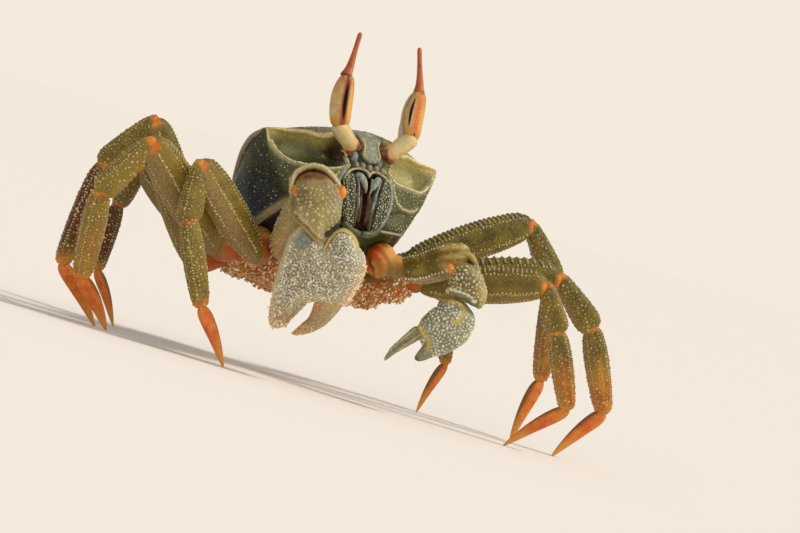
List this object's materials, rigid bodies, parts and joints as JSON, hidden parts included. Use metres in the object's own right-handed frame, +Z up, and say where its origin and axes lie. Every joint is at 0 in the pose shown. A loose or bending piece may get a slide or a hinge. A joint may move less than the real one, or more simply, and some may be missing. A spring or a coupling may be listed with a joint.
{
  "type": "horned ghost crab model",
  "caption": "Life-size standing ghost crab with tall horned eyes, a heavy hanging claw, a smaller claw and slender arched walking legs.",
  "frame": {"origin": "middle of the crab's own box, on the floor it stands on", "axes": "+Z up, the crab faces -Y, its own left side is +X"},
  "size_m": [0.1348, 0.063, 0.0769],
  "materials": {
    "shell": "granular horny shell, olive green with blue-grey and cream beads",
    "leg": "olive leg shell with rows of cream granules",
    "orange": "smooth orange joints and nail-like feet",
    "claw": "densely granular grey-white claw shell",
    "cream": "smooth cream eyestalk",
    "eye": "polished amber eye with dark slit",
    "horn": "smooth red-brown horn"
  },
  "bodies": {
    "root": {"carapace": "shell", "rostrum": "shell", "mouth_plate_right": "shell", "eyestalk_right": "cream", "eye_right": "eye", "eye_horn_right": "horn", "claw_right_base": "orange", "claw_right_merus": "claw", "claw_right_carpus": "claw", "claw_right_palm": "claw", "claw_right_finger": "claw", "leg_right_2_base": "orange", "leg_right_2_merus": "leg", "leg_right_2_carpus": "leg", "leg_right_2_propodus": "leg", "leg_right_2_dactyl": "orange", "leg_right_3_base": "orange", "leg_right_3_merus": "leg", "leg_right_3_carpus": "leg", "leg_right_3_propodus": "leg", "leg_right_3_dactyl": "orange", "leg_right_4_base": "orange", "leg_right_4_merus": "leg", "leg_right_4_carpus": "leg", "leg_right_4_propodus": "leg", "leg_right_4_dactyl": "orange", "leg_right_5_base": "orange", "leg_right_5_merus": "leg", "leg_right_5_carpus": "leg", "leg_right_5_propodus": "leg", "leg_right_5_dactyl": "orange", "mouth_plate_left": "shell", "eyestalk_left": "cream", "eye_left": "eye", "eye_horn_left": "horn", "claw_left_base": "orange", "claw_left_merus": "claw", "claw_left_carpus": "claw", "claw_left_palm": "claw", "claw_left_finger": "claw", "leg_left_2_base": "orange", "leg_left_2_merus": "leg", "leg_left_2_carpus": "leg", "leg_left_2_propodus": "leg", "leg_left_2_dactyl": "orange", "leg_left_3_base": "orange", "leg_left_3_merus": "leg", "leg_left_3_carpus": "leg", "leg_left_3_propodus": "leg", "leg_left_3_dactyl": "orange", "leg_left_4_base": "orange", "leg_left_4_merus": "leg", "leg_left_4_carpus": "leg", "leg_left_4_propodus": "leg", "leg_left_4_dactyl": "orange", "leg_left_5_base": "orange", "leg_left_5_merus": "leg", "leg_left_5_carpus": "leg", "leg_left_5_propodus": "leg", "leg_left_5_dactyl": "orange"}
  },
  "joints": []
}
